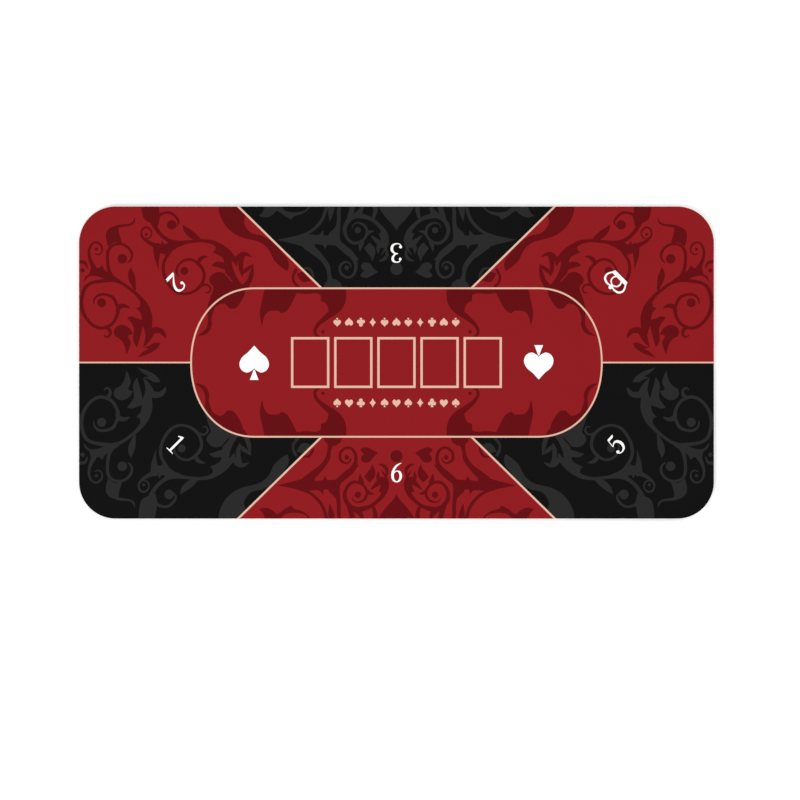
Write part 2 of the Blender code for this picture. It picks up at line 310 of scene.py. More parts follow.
# Lines of varying width, as (x, y, width) points
SCROLL_STEMS = (
    # Corner: the large ring beside the short edge, and the stem that goes on from it
    ((-572, 110, 2), (-570, 121, 4), (-561, 128, 5), (-548, 128, 5), (-536, 123, 6), (-529, 111, 6),
     (-526, 99, 7), (-530, 84, 6), (-540, 71, 6), (-556, 65, 6), (-571, 69, 6), (-584, 81, 6),
     (-593, 98, 7), (-595, 118, 7), (-589, 140, 7), (-577, 150, 6), (-558, 154, 7), (-536, 156, 8),
     (-519, 150, 6), (-503, 139, 6), (-489, 127, 7), (-477, 112, 10), (-472, 100, 14)),
    ((-528, 98, 6), (-522, 106, 9), (-513, 107, 7), (-504, 103, 2)),
    ((-548, 67, 7), (-542, 61, 7), (-541, 53, 5), (-547, 48, 4), (-553, 52, 2)),
    # Corner: the upper ring, and the small spiral
    ((-536, 158, 10), (-543, 173, 7), (-546, 193, 6), (-545, 210, 6), (-537, 221, 5),
     (-521, 224, 5), (-507, 217, 5), (-500, 205, 5), (-502, 194, 4), (-508, 189, 2)),
    ((-571, 178, 10), (-579, 195, 6), (-581, 211, 5), (-576, 223, 4), (-567, 227, 4),
     (-558, 221, 4), (-556, 211, 3), (-562, 204, 3), (-570, 206, 2)),
    ((-528, 257, 6), (-516, 259, 5), (-505, 260, 4), (-497, 265, 4), (-494, 274, 1)),
    ((-501, 180, 1), (-502, 171, 9), (-500, 160, 13), (-497, 148, 9), (-494, 138, 4)),
    ((-584, 178, 2), (-588, 188, 5), (-597, 190, 6), (-607, 187, 6), (-616, 178, 4),
     (-617, 168, 2)),
    # Corner: the hook and the last curl of the stem
    ((-470, 57, 12), (-457, 61, 12), (-446, 60, 10), (-439, 53, 7), (-436, 46, 1)),
    # Leaf stalk and tendril inside the oval
    ((-190, 135, 7), (-170, 134, 9), (-150, 135, 9), (-134, 129, 12)),
    ((-127, 90, 12), (-138, 81, 9), (-148, 72, 7), (-154, 61, 6), (-152, 52, 5), (-145, 49, 2)),
    # Beside the slanting line, on both of its sides
    ((-186, 143, 6), (-194, 153, 5), (-195, 164, 5), (-190, 175, 6)),
    ((-176, 178, 3), (-165, 177, 5), (-159, 168, 5), (-156, 160, 2)),
    # Trapezoid: the stem up from the oval, and the spiral that its web runs into
    ((-120, 140, 36), (-124, 152, 15), (-127, 165, 7), (-130, 181, 9), (-141, 197, 10),
     (-155, 210, 14), (-170, 222, 16)),
    ((-108, 223, 12), (-95, 212, 13), (-83, 201, 11), (-77, 187, 7), (-78, 172, 6), (-86, 162, 5),
     (-97, 162, 5), (-106, 171, 5), (-106, 183, 5), (-97, 190, 4), (-88, 187, 3), (-86, 180, 2)),
    ((-81, 200, 9), (-71, 193, 1)),
    ((-188, 238, 4), (-165, 246, 5), (-149, 259, 6), (-138, 275, 6), (-131, 302, 7), (-134, 316, 5),
     (-143, 323, 2)),
    ((-110, 326, 2), (-116, 314, 9), (-121, 302, 13), (-124, 284, 10), (-126, 267, 1)),
    ((-119, 239, 20), (-111, 255, 9), (-109, 270, 7), (-109, 286, 7), (-106, 300, 5),
     (-99, 310, 2)),
    # Trapezoid: the ring and the long line round it
    ((-84, 254, 1), (-81, 261, 2), (-73, 264, 3), (-62, 260, 5), (-56, 250, 5), (-58, 238, 5),
     (-68, 228, 5), (-82, 226, 6), (-93, 235, 6), (-98, 249, 7), (-95, 262, 8), (-86, 273, 9),
     (-75, 278, 11), (-62, 276, 9), (-48, 271, 7), (-35, 261, 7), (-24, 248, 9), (-18, 232, 8),
     (-21, 215, 5), (-29, 203, 1)),
    ((-55, 243, 6), (-50, 247, 6), (-42, 248, 1)),
    ((-66, 227, 10), (-68, 219, 7), (-69, 210, 1)),
    ((-92, 268, 6), (-88, 279, 8), (-84, 289, 10), (-83, 301, 9), (-88, 313, 6), (-97, 320, 2)),
    ((-73, 280, 12), (-67, 288, 8), (-65, 298, 6), (-69, 309, 2)),
    ((-43, 275, 6), (-40, 286, 8), (-41, 300, 10), (-48, 314, 7), (-58, 321, 2)),
    ((-27, 222, 12), (-36, 229, 9), (-47, 239, 3)),
    ((-33, 192, 2), (-24, 195, 6), (-18, 203, 6), (-19, 214, 3)),
)
# Round dots, as (x, y, radius)
SCROLL_DOTS = (
    (-557, 113, 8.5), (-518, 196, 9), (-567, 214, 3), (-593, 174, 4), (-139, 58, 3.2),
    (-73, 250, 6), (-94, 179, 4.5),
)
# Leaves, as closed outlines of (x, y) points. They are made of smooth arcs that meet in sharp
# corners, and each arc runs on to the first point of the next
SCROLL_LEAVES = (
    # Corner: the curled leaf on the upper ring
    (((-545, 219), (-549, 236), (-547, 248), (-538, 256)), ((-520, 261), (-525, 252), (-523, 240)),
     ((-518, 224), (-532, 227))),
    # Corner: the web from which the small spiral and the upper ring spring
    (((-576, 188), (-569, 180), (-562, 179)), ((-556, 184), (-551, 175)),
     ((-545, 170), (-537, 165), (-528, 160)), ((-518, 151), (-540, 158), (-550, 158)),
     ((-562, 162), (-574, 164), (-583, 161)), ((-591, 151), (-588, 162), (-580, 169))),
    # Corner: the leaf in which the stem ends, its two teeth and the comma below it
    (((-484, 116), (-472, 110), (-464, 97), (-461, 82)), ((-463, 60), (-472, 54), (-479, 68)),
     ((-481, 82), (-484, 94)), ((-492, 103), (-485, 106))),
    (((-509, 85), (-500, 87), (-489, 83)), ((-478, 80), (-481, 62), (-485, 46)),
     ((-490, 28), (-497, 40), (-497, 54), (-497, 68))),
    (((-532, 50), (-534, 60), (-527, 69), (-516, 71), (-504, 64)),
     ((-498, 54), (-507, 50), (-502, 38), (-505, 26)), ((-510, 15), (-514, 32), (-521, 43))),
    (((-473, 60), (-475, 45)), ((-479, 28), (-470, 36), (-463, 45)), ((-456, 58),)),
    (((-478, 29), (-469, 31), (-458, 37)), ((-446, 37), (-452, 27), (-467, 17)),
     ((-490, 9), (-480, 19)), ((-468, 26),)),
    # The broad band beside the slanting line
    (((-324, 332), (-334, 318), (-336, 302), (-334, 280), (-320, 255), (-296, 238), (-260, 228),
      (-242, 214), (-231, 193)), ((-217, 180), (-206, 174), (-204, 190), (-214, 206), (-234, 228)),
     ((-254, 240), (-276, 246), (-288, 264), (-286, 280), (-298, 302), (-310, 318))),
    (((-189, 168), (-182, 156), (-174, 152)), ((-162, 155),), ((-176, 172),)),
    # The two leaves inside the oval
    (((-249, 140), (-254, 117), (-258, 97), (-257, 83)), ((-254, 69), (-250, 86), (-241, 97)),
     ((-223, 98),), ((-217, 93), (-206, 99), (-197, 114)), ((-184, 140),)),
    (((-146, 138), (-143, 125)), ((-143, 116), (-135, 113), (-130, 105), (-129, 95)),
     ((-137, 82), (-122, 86), (-108, 96), (-99, 108), (-95, 122)), ((-95, 138),)),
    # Trapezoid: the swash by its corner
    (((-260, 277), (-252, 286), (-246, 302)),
     ((-243, 318), (-230, 314), (-222, 302), (-212, 288), (-198, 284), (-182, 285), (-170, 290),
      (-166, 302)), ((-168, 322), (-159, 313), (-158, 302), (-166, 290), (-178, 281), (-194, 276)),
     ((-198, 270), (-210, 276), (-219, 283)), ((-226, 287), (-236, 278), (-248, 274))),
    # Trapezoid: the web, with a tooth on each side
    (((-226, 232), (-196, 238), (-174, 243)), ((-154, 241), (-146, 242)),
     ((-138, 250), (-136, 240), (-118, 244)), ((-106, 258), (-107, 236)),
     ((-100, 216), (-114, 221)), ((-131, 222),), ((-135, 214), (-140, 222)), ((-155, 224),),
     ((-150, 206), (-166, 214), (-186, 222))),
    # Trapezoid: leaves inside the ring's line, and the heart-shaped bud
    (((-61, 216), (-54, 206), (-49, 200)), ((-46, 191), (-40, 206), (-42, 217)), ((-51, 227),)),
    (((-34, 204), (-38, 214), (-37, 222), (-30, 232)),
     ((-34, 244), (-22, 246), (-16, 234), (-22, 222)), ((-31, 217),)),
    (((-61, 174), (-68, 164), (-58, 160), (-47, 164)),
     ((-35, 171), (-43, 178), (-50, 187), (-60, 189), (-67, 184)), ((-65, 176),)),
)

# The group beside the long side. In the print's near half it lies a little further from the fold
# line, and nearer the middle of the top's width
LONG_SIDE_STEMS = (
    # Ring, stem, small spiral and the fork between them
    ((-454, 262, 8), (-449, 278, 6), (-440, 283, 5), (-429, 284, 5), (-418, 277, 5), (-412, 266, 4),
     (-417, 257, 1)),
    ((-461, 270, 12), (-455, 255, 8), (-444, 241, 7), (-430, 231, 8), (-416, 225, 13),
     (-399, 228, 7), (-383, 230, 6), (-366, 231, 6), (-348, 228, 8), (-333, 220, 10)),
    ((-440, 216, 14), (-457, 222, 9), (-473, 231, 6), (-482, 241, 4), (-480, 253, 4),
     (-471, 256, 4), (-463, 248, 3), (-466, 237, 3), (-475, 235, 2)),
    ((-443, 214, 14), (-428, 219, 17), (-416, 224, 12)),
    ((-452, 219, 16), (-453, 203, 11), (-452, 190, 5), (-450, 178, 1)),
    ((-442, 214, 16), (-443, 230, 1)),
    ((-436, 214, 12), (-438, 203, 1)),
    ((-423, 219, 8), (-431, 206, 6), (-439, 192, 6), (-441, 177, 6), (-436, 158, 6), (-423, 139, 6),
     (-408, 131, 5), (-391, 132, 5), (-376, 140, 6), (-366, 154, 6), (-364, 171, 6), (-373, 186, 6),
     (-387, 195, 5), (-401, 194, 5), (-412, 185, 4), (-416, 173, 4), (-412, 163, 2)),
    ((-376, 186, 4), (-372, 195, 8), (-365, 200, 6), (-356, 201, 1)),
    ((-370, 146, 6), (-359, 148, 4), (-352, 141, 4), (-355, 133, 3), (-362, 134, 2)),
    ((-403, 259, 3), (-396, 250, 11), (-384, 240, 13), (-369, 230, 4)),
    # The two hooks and the curl that end the stem
    ((-304, 192, 8), (-297, 202, 9), (-288, 206, 8), (-280, 204, 5), (-274, 200, 1)),
    ((-292, 204, 12), (-294, 191, 9), (-294, 177, 8), (-291, 164, 2)),
    ((-290, 170, 5), (-284, 176, 8), (-277, 181, 6), (-270, 187, 1)),
    ((-287, 143, 12), (-278, 156, 9), (-274, 169, 8), (-271, 187, 1)),
)
LONG_SIDE_DOTS = ((-425, 261, 9), (-401, 174, 7.5), (-473, 243, 3))
LONG_SIDE_LEAVES = (
    # The leaf above the ring
    (((-473, 332), (-482, 308), (-480, 280), (-474, 269)),
     ((-461, 263), (-452, 268), (-448, 279), (-453, 306))),
    # The stem's end leaf with its teeth, and the comma below it
    (((-345, 231), (-328, 223), (-315, 213)), ((-304, 200), (-300, 192)),
     ((-302, 182), (-308, 190)), ((-312, 193), (-309, 178), (-302, 162)),
     ((-294, 151), (-306, 150), (-314, 160), (-323, 170)), ((-324, 176), (-336, 180)),
     ((-350, 184), (-340, 191)), ((-326, 190), (-330, 200)), ((-348, 209), (-342, 216))),
    (((-352, 150), (-354, 159), (-347, 168), (-337, 172)), ((-326, 170), (-318, 160), (-308, 152)),
     ((-294, 150),), ((-284, 146), (-287, 130), (-296, 113), (-305, 103)),
     ((-316, 103), (-325, 112), (-336, 110)), ((-346, 102),),
     ((-358, 104), (-352, 124), (-346, 142))),
    (((-358, 105),), ((-344, 103), (-350, 84), (-349, 73), (-354, 60), (-364, 53)),
     ((-377, 51), (-365, 60), (-357, 74))),
)
FAR_SHIFT = (0.0003, -0.0008)  # what that group is moved by in each half, before it is mirrored
NEAR_SHIFT = (-0.0047, -0.0118)

# The leaf and the dot that the mirror line at x 0 crosses
SCROLL_MIDDLE = (
    (((0, 312), (-17, 322), (-33, 318), (-37, 303), (-32, 291), (-24, 279.5), (-15.5, 269),
      (-7, 260)),
     ((0, 249), (7, 260), (15.5, 269), (24, 279.5), (32, 291), (37, 303), (33, 318), (17, 322))),
)
SCROLL_MIDDLE_DOTS = ((0, 177, 11.5),)


def leaf_faces(arcs):
    """The inside of smooth arcs that meet in sharp corners, as triangles."""
    outline = []
    for arc, following in zip(arcs, arcs[1:] + arcs[:1]):
        points = [(x * MM, y * MM) for x, y in (*arc, following[0])]
        outline += through(points, CURVE_STEPS)[:-1]
    corners = [Vector((*point, 0)) for point in outline]
    return [[outline[i] for i in triangle] for triangle in tessellate_polygon([corners])]


def drawn(stems, leaves, dots):
    """The faces of lines, leaves and dots given in millimetres."""
    faces = [face for arcs in leaves for face in leaf_faces(arcs)]
    for points in stems:
        line = [(x * MM, y * MM, width * MM) for x, y, width in points]
        faces += strip(through(line, CURVE_STEPS))
    for x, y, radius in dots:
        faces += disc(x * MM, y * MM, radius * MM, 28)
    return faces


def scroll_faces():
    """The whole scrollwork: its quarter mirrored both ways, and the middle pieces."""
    quarter = drawn(SCROLL_STEMS, SCROLL_LEAVES, SCROLL_DOTS)
    long_side = drawn(LONG_SIDE_STEMS, LONG_SIDE_LEAVES, LONG_SIDE_DOTS)
    middle = drawn((), SCROLL_MIDDLE, SCROLL_MIDDLE_DOTS)
    made = []
    for flip_y, shift in ((1, FAR_SHIFT), (-1, NEAR_SHIFT)):
        made += moved(middle, flip_y=flip_y)
        placed = quarter + moved(long_side, x=shift[0], y=shift[1])
        for flip_x in (1, -1):
            made += moved(placed, flip_x=flip_x, flip_y=flip_y)
    return made


# ---- The printed layout ----

def oval_outline(offset, steps=40):
    """The oval moved outwards by offset: straight long sides between two full round ends."""
    points = []
    power = 2 / OVAL_SQUARENESS
    for corner, (sx, sy) in enumerate(((1, 1), (-1, 1), (-1, -1), (1, -1))):
        for step in range(steps + 1):
            turn = step / steps * math.pi / 2
            turn = turn if corner % 2 == 0 else math.pi / 2 - turn
            x = OVAL_HALF[0] - OVAL_END + (OVAL_END + offset) * abs(math.cos(turn)) ** power
            y = (OVAL_HALF[1] + offset) * abs(math.sin(turn)) ** power
            points.append((sx * x, sy * y))
    return points


def in_oval(x, y):
    """Whether a place lies inside the middle of the oval's line."""
    along = max(abs(x) - OVAL_HALF[0] + OVAL_END, 0) / OVAL_END
    return along**OVAL_SQUARENESS + abs(y / OVAL_HALF[1]) ** OVAL_SQUARENESS < 1


def line_faces():
    """The cream lines: the oval, the slanting lines, the dividers and the card boxes."""
    ox, oy = OVAL_HALF
    faces = ring(oval_outline(OVAL_LINE / 2), oval_outline(-OVAL_LINE / 2))
    far = WIDTH / 2 + BLEED
    slant = SLANT_LINE / 2 * math.hypot(1, DIAGONAL_RUN)
    top_x = DIAGONAL_FOOT + (far - oy) * DIAGONAL_RUN
    diagonal = [
        (DIAGONAL_FOOT - slant, oy), (DIAGONAL_FOOT + slant, oy),
        (top_x + slant, far), (top_x - slant, far),
    ]
    divider = rectangle(LENGTH / 2 - ox + BLEED, DIVIDER_LINE, (LENGTH / 2 + ox + BLEED) / 2)
    for flip_x in (1, -1):
        faces += moved(divider, flip_x=flip_x)
        for flip_y in (1, -1):
            faces += moved([diagonal], flip_x=flip_x, flip_y=flip_y)
    width, height = CARD_BOX
    for number in range(CARD_COUNT):
        x = (number - (CARD_COUNT - 1) / 2) * CARD_PITCH
        outer, = rectangle(width + BOX_LINE, height + BOX_LINE, x)
        inner, = rectangle(width - BOX_LINE, height - BOX_LINE, x)
        faces += ring(outer, inner)
    return faces


def pip_faces():
    """Two rows of small suits, one for each side of the table to read."""
    row = (spade, heart, club, diamond, spade, heart, spade, diamond, club, heart, spade)
    faces = []
    for turn, row_y in ((0, -PIP_ROW_Y), (180, PIP_ROW_Y)):
        for place, suit in enumerate(row):
            x = (place - (len(row) - 1) / 2) * PIP_PITCH
            faces += moved(suit(), PIP_HEIGHT, turn, x, row_y)
    return faces


def mark_faces():
    """The white marks: two large spades, the seats' numerals and the crown."""
    faces = moved(spade(), SPADE_HEIGHT, 0, -SPADE_X, -SPADE_RISE)
    faces += moved(spade(), SPADE_HEIGHT, 180, SPADE_X, SPADE_RISE)
    for numeral, x, y, turn in SEATS:
        faces += moved(NUMERALS[numeral], DIGIT_HEIGHT, turn, x, y)
    return faces + moved(crown(), CROWN_WIDTH, *CROWN_SEAT)


def field(x, y):
    """The ground ink at a place: the oval, the near trapezoid and the far side fields are red."""
    if in_oval(x, y):
        return "red"
    beyond = abs(y) - OVAL_HALF[1]
    in_trapezoid = beyond > 0 and abs(x) < DIAGONAL_FOOT + beyond * DIAGONAL_RUN
    return "red" if in_trapezoid != (y > 0) else "black"


INKS = ("red", "dark_red", "black", "grey", "cream", "white")
OVER_SCROLL = {"red": "dark_red", "black": "grey"}


# ---- Materials ----

def material(name, roughness=0.6, metallic=0.0, specular=0.5):
    """A new node material: (material, node tree, its Principled shader)."""
    made = bpy.data.materials.new(name)
    made.use_nodes = True
    tree = made.node_tree
    shader = tree.nodes["Principled BSDF"]
    feed(shader, {"Roughness": roughness, "Metallic": metallic, "Specular IOR Level": specular})
    return made, tree, shader


def feed(made, inputs):
    """Fills a node's inputs: a socket is linked, and anything else is a value."""
    for key, value in inputs.items():
        if isinstance(value, bpy.types.NodeSocket):
            made.id_data.links.new(value, made.inputs[key])
        else:
            made.inputs[key].default_value = value


def node(tree, kind, inputs=None, **settings):
    made = tree.nodes.new(kind)
    for key, value in settings.items():
        setattr(made, key, value)
    feed(made, inputs or {})
    return made


def maths(tree, operation, first, second=0.0):
    return node(tree, "ShaderNodeMath", {0: first, 1: second}, operation=operation).outputs[0]


def product(tree, first, *others):
    for other in others:
        first = maths(tree, "MULTIPLY", first, other)
    return first


def object_place(tree):
    """Where a point lies in the frame, in metres."""
    return node(tree, "ShaderNodeTexCoord").outputs["Object"]


def stretched(tree, where, x, y, z):
    inputs = {0: where, 1: (x, y, z)}
    return node(tree, "ShaderNodeVectorMath", inputs, operation="MULTIPLY").outputs[0]


def height_of(tree, where):
    return node(tree, "ShaderNodeSeparateXYZ", {0: where}).outputs["Z"]


def noise(tree, where, scale, detail=2.0, roughness=0.5):
    inputs = {"Vector": where, "Scale": scale, "Detail": detail, "Roughness": roughness}
    return node(tree, "ShaderNodeTexNoise", inputs).outputs["Fac"]


def between(tree, value, low, high, start=0.0, end=1.0):
    """value, as it runs from start to end, put between low and high and held at them beyond."""
    inputs = {"Value": value, "From Min": start, "From Max": end, "To Min": low, "To Max": high}
    return node(tree, "ShaderNodeMapRange", inputs).outputs[0]


def cells(tree, where, scale):
    """The distance from the middle of the nearest of many round cells, as a share of their size."""
    inputs = {"Vector": where, "Scale": scale}
    return node(tree, "ShaderNodeTexVoronoi", inputs).outputs["Distance"]


def shaded(tree, colour, factor):
    """A fixed colour multiplied by a varying factor."""
    scaled = node(tree, "ShaderNodeVectorMath", {0: colour[:3], 3: factor}, operation="SCALE")
    return scaled.outputs[0]


def bumped(tree, shader, height, distance, strength=1.0):
    inputs = {"Height": height, "Distance": distance, "Strength": strength}
    tree.links.new(node(tree, "ShaderNodeBump", inputs).outputs[0], shader.inputs["Normal"])


def weave(tree, where, pitch):
    """The height of a plain weave, 0 to 1, with threads pitch apart along X and Y."""
    split = node(tree, "ShaderNodeSeparateXYZ", {0: where})
    waves = [
        maths(tree, "SINE", product(tree, split.outputs[axis], math.pi / pitch)) for axis in "XY"
    ]
    return between(tree, product(tree, *waves), 0.0, 1.0, -1.0, 1.0)


def linear(*levels):
    """A colour from its 0 to 255 screen levels."""
    shares = [level / 255 for level in levels]
    return tuple(v / 12.92 if v <= 0.04045 else ((v + 0.055) / 1.055) ** 2.4 for v in shares)


INK_COLOURS = {
    "red": linear(132, 22, 27),
    "dark_red": linear(92, 7, 12),
    "black": linear(10, 10, 10),
    "grey": linear(36, 36, 36),
    "cream": linear(212, 174, 153),
    "white": linear(244, 243, 240),
}


def flat_place(tree):
    """Where a point lies on the cloth before it was wrapped, in metres."""
    return node(tree, "ShaderNodeUVMap", uv_map="laid_flat").outputs[0]


def printed_cloth(ink):
    """Dye-printed smooth cloth: fine threads with painted shade in the hollows between them, a
    faint nap and slightly uneven ink.
    """
    made, tree, shader = material("print_" + ink, roughness=0.8, specular=0.06)
    where = flat_place(tree)
    threads = weave(tree, where, 0.45 * MM)
    fibre = noise(tree, where, 1800, 3)
    nap = noise(tree, where, 22, 4)
    # The hollows between the threads are painted darker, as shade; the nap and the fibres vary the
    # ink's tone at random
    depth = product(
        tree, between(tree, threads, 0.94, 1.04), between(tree, nap, 0.965, 1.035),
        between(tree, fibre, 0.93, 1.07),
    )
    feed(shader, {
        "Base Color": shaded(tree, INK_COLOURS[ink], depth),
        "Roughness": between(tree, nap, 0.72, 0.88),
        "Sheen Weight": 0.012,
        "Sheen Roughness": 0.5,
    })
    bumped(tree, shader, maths(tree, "ADD", threads, fibre), 0.05 * MM, 0.5)
    return made


def plain_weave(name, colour, pitch, depth=0.2, roughness=0.85):
    """Undyed or plain-dyed woven cloth, such as the cloth's back or a tape, with painted shade
    between its threads.
    """
    made, tree, shader = material(name, roughness, specular=0.2)
    where = object_place(tree)
    threads = weave(tree, where, pitch)
    fibre = noise(tree, where, 2500, 3)
    # depth is how much darker the hollows between the threads are painted, as shade; the fibres
    # vary the tone at random
    factor = product(tree, between(tree, threads, 1 - depth, 1), between(tree, fibre, 0.85, 1.15))
    feed(shader, {"Base Color": shaded(tree, colour, factor)})
    bumped(tree, shader, maths(tree, "ADD", threads, fibre), 0.1 * MM, 0.7)
    return made


# ---- The playing cloth ----

def fold_lines():
    """Where the rows of points lie that let the cloth bend, on both sides of the fold line."""
    step = FOLD_ZONE / FOLD_LINES
    return [i * step for i in range(-FOLD_LINES, FOLD_LINES + 1)]


def shape_tree(outlines):
    """The outlines as flat faces that a ray from above can find."""
    points = [(x, y, 0.0) for outline in outlines for x, y in outline]
    faces, start = [], 0
    for outline in outlines:
        faces.append(range(start, start + len(outline)))
        start += len(outline)
    return BVHTree.FromPolygons(points, faces)


def ink_at(place, layers):
    """The ink at a place on the face, given its layers from the lowest to the uppermost."""
    ground = field(place.x, place.y)
    above, down = Vector((place.x, place.y, 1.0)), Vector((0, 0, -1))
    for layer, tree in reversed(layers.items()):
        if tree.ray_cast(above, down)[0] is not None:
            return OVER_SCROLL[ground] if layer == "scroll" else layer
    return ground


def wrap_rows():
    """The wrapped edge's section, from where the playing face stops being flat.

    A row is the length along the cloth, the distance outwards and the height above the table.
    """
    steps, r = 5, EDGE_RADIUS
    bends = [step / steps * math.pi / 2 for step in range(1, steps + 1)]
    rows = [(0.0, 0.0, CLOTH_TOP)]
    rows += [(r * a, r * math.sin(a), CLOTH_TOP - r * (1 - math.cos(a))) for a in bends]
    start = rows[-1][0] + CLOTH_TOP - CLOTH_BOTTOM - 2 * r
    rows.append((start, r, CLOTH_BOTTOM + r))
    rows += [(start + r * a, r * math.cos(a), CLOTH_BOTTOM + r * (1 - math.sin(a))) for a in bends]
    inward = HEM_WIDTH - r
    return [*rows, (rows[-1][0] + inward, -inward, CLOTH_BOTTOM)]


def past_edge(point):
    """How far a point of the flat blank lies past the flat face's edge, and in which direction."""
    x = abs(point.x) - LENGTH / 2 + CORNER_RADIUS
    y = abs(point.y) - WIDTH / 2 + CORNER_RADIUS
    away = Vector((max(x, 0), max(y, 0)))
    distance = away.length
    away = away.normalized()
    away = Vector((math.copysign(away.x, point.x), math.copysign(away.y, point.y)))
    return distance - (CORNER_RADIUS - EDGE_RADIUS), away


def wrapped(place, rows):
    """Where a place on the flat blank comes to lie when it is wrapped round the boards."""
    beyond, away = past_edge(place)
    if beyond <= 0:
        return Vector((place.x, place.y, CLOTH_TOP))
    for (from_along, from_out, from_z), (along, out, z) in zip(rows, rows[1:]):
        if beyond <= along:
            break
    share = min((beyond - from_along) / (along - from_along), 1.0)
    reach = from_out + share * (out - from_out) - beyond
    height = from_z + share * (z - from_z)
    return Vector((place.x + away.x * reach, place.y + away.y * reach, height))


def divide(points, edges, faces):
    """Triangles inside faces, none of which crosses an edge: (points, triangles, their faces).

    The points go in as millimetres, for accuracy, and come out as metres.
    """
    placed, _, triangles, _, _, sources = delaunay_2d_cdt(points, edges, faces, 1, 1e-3)
    return [point * MM for point in placed], triangles, sources


def divided_blank(rows):
    """The flat blank, divided along the inks' edges and the bends: (points, triangles, inks)."""
    shapes = {"scroll": scroll_faces(), "cream": line_faces() + pip_faces(), "white": mark_faces()}
    loops = []
    for along, _, _ in rows[::-1]:
        out = along - EDGE_RADIUS
        loops.append(rounded_rectangle(
            LENGTH / 2 + out, WIDTH / 2 + out, CORNER_RADIUS + out, CORNER_STEPS
        ))
    blank = list(range(len(loops[0])))
    points, edges = [], []
    for loop in loops + [face for faces in shapes.values() for face in faces]:
        first, count = len(points), len(loop)
        points += [Vector(point) / MM for point in loop]
        edges += [(first + i, first + (i + 1) % count) for i in range(count)]
    for x in fold_lines():
        edges.append((len(points), len(points) + 1))
        points += [Vector((x, -WIDTH)) / MM, Vector((x, WIDTH)) / MM]
    placed, triangles, sources = divide(points, edges, [blank])
    layers = {layer: shape_tree(faces) for layer, faces in shapes.items()}
    kept, inks = [], []
    for triangle, source in zip(triangles, sources):
        centre = sum((placed[i] for i in triangle), Vector((0, 0))) / 3
        notched = abs(centre.x) < FOLD_ZONE and past_edge(centre)[0] > EDGE_RADIUS * math.pi / 2
        if source and not notched:
            kept.append(triangle)
            inks.append(INKS.index(ink_at(centre, layers)))
    return placed, kept, inks


def turn_back(build):
    """Closes up the slivers of a flat mesh that merging its points has turned over or flattened."""
    for _ in range(4):
        build.normal_update()
        turned = [face for face in build.faces if face.normal.z < 0.5]
        if not turned:
            break
        shortest = [min(face.edges, key=lambda edge: edge.calc_length()) for face in turned]
        bmesh.ops.collapse(build, edges=list(dict.fromkeys(shortest)))


def make_cloth(inks):
    """One unbroken cloth over both halves, wrapped round their edges and notched at the fold."""
    rows = wrap_rows()
    points, triangles, ink_of = divided_blank(rows)
    build = bmesh.new()
    laid_flat = build.loops.layers.uv.new("laid_flat")
    used = sorted({i for triangle in triangles for i in triangle})
    vertices = {i: build.verts.new((*points[i], CLOTH_TOP)) for i in used}
    for triangle, ink in zip(triangles, ink_of):
        build.faces.new([vertices[i] for i in triangle]).material_index = ink
    bmesh.ops.remove_doubles(build, verts=build.verts, dist=MERGE_DISTANCE)
    bmesh.ops.dissolve_degenerate(build, dist=MERGE_DISTANCE, edges=build.edges)
    turn_back(build)
    for face in build.faces:
        face.smooth = True
        for loop in face.loops:
            loop[laid_flat].uv = loop.vert.co.xy
    for vertex in build.verts:
        vertex.co = wrapped(vertex.co.xy, rows)
    cloth = new_piece("playing_cloth", build, *inks)
    thicken(cloth, CLOTH_THICKNESS, len(inks))
    return cloth


def thicken(piece, thickness, material_step):
    """Gives a sheet its thickness on its inner side, which takes the last of its materials."""
    solid = piece.modifiers.new("thickness", "SOLIDIFY")
    solid.thickness = thickness
    solid.offset = -1
    solid.material_offset = material_step
    view = bpy.context.evaluated_depsgraph_get()
    mesh = bpy.data.meshes.new_from_object(piece.evaluated_get(view))
    piece.modifiers.clear()
    piece.data = mesh


def new_piece(name, build, *materials):
    mesh = bpy.data.meshes.new(name)
    build.to_mesh(mesh)
    build.free()
    piece = bpy.data.objects.new(name, mesh)
    bpy.context.scene.collection.objects.link(piece)
    for each in materials:
        mesh.materials.append(each)
    return piece


# ---- Layers under the cloth ----

def half_outline(side, low, high):
    """One side of the open top's outline, moved in to the box of a layer."""
    inset = WIDTH / 2 - high.y
    gutter = min(abs(low.x), abs(high.x))
    full = rounded_rectangle(LENGTH / 2 - inset, WIDTH / 2 - inset, CORNER_RADIUS - inset, 16)
    half = sorted(((x, y) for x, y in full if x > 0), key=lambda p: math.atan2(p[1], p[0]))
    y = WIDTH / 2 - inset
    ends = [(gutter, y), (gutter, -y)]
    return anticlockwise([(SIDES[side] * px, py) for px, py in half + ends])


def ruled_plan(outline, lines, holes=()):
    """The inside of an outline, divided along lines and round holes: (points, triangles)."""
    points, faces, edges = [], [], []
    for shape in (outline, *holes):
        faces.append(list(range(len(points), len(points) + len(shape))))
        points += [Vector((x / MM, y / MM)) for x, y in shape]
    for start, end in lines:
        edges.append((len(points), len(points) + 1))
        points += [Vector(start) / MM, Vector(end) / MM]
    placed, triangles, sources = divide(points, edges, faces)
    return placed, [t for t, source in zip(triangles, sources) if source == [0]]


def shade_smooth(piece):
    for face in piece.data.polygons:
        face.use_smooth = True
    piece.data.set_sharp_from_angle(angle=SMOOTH_ANGLE)


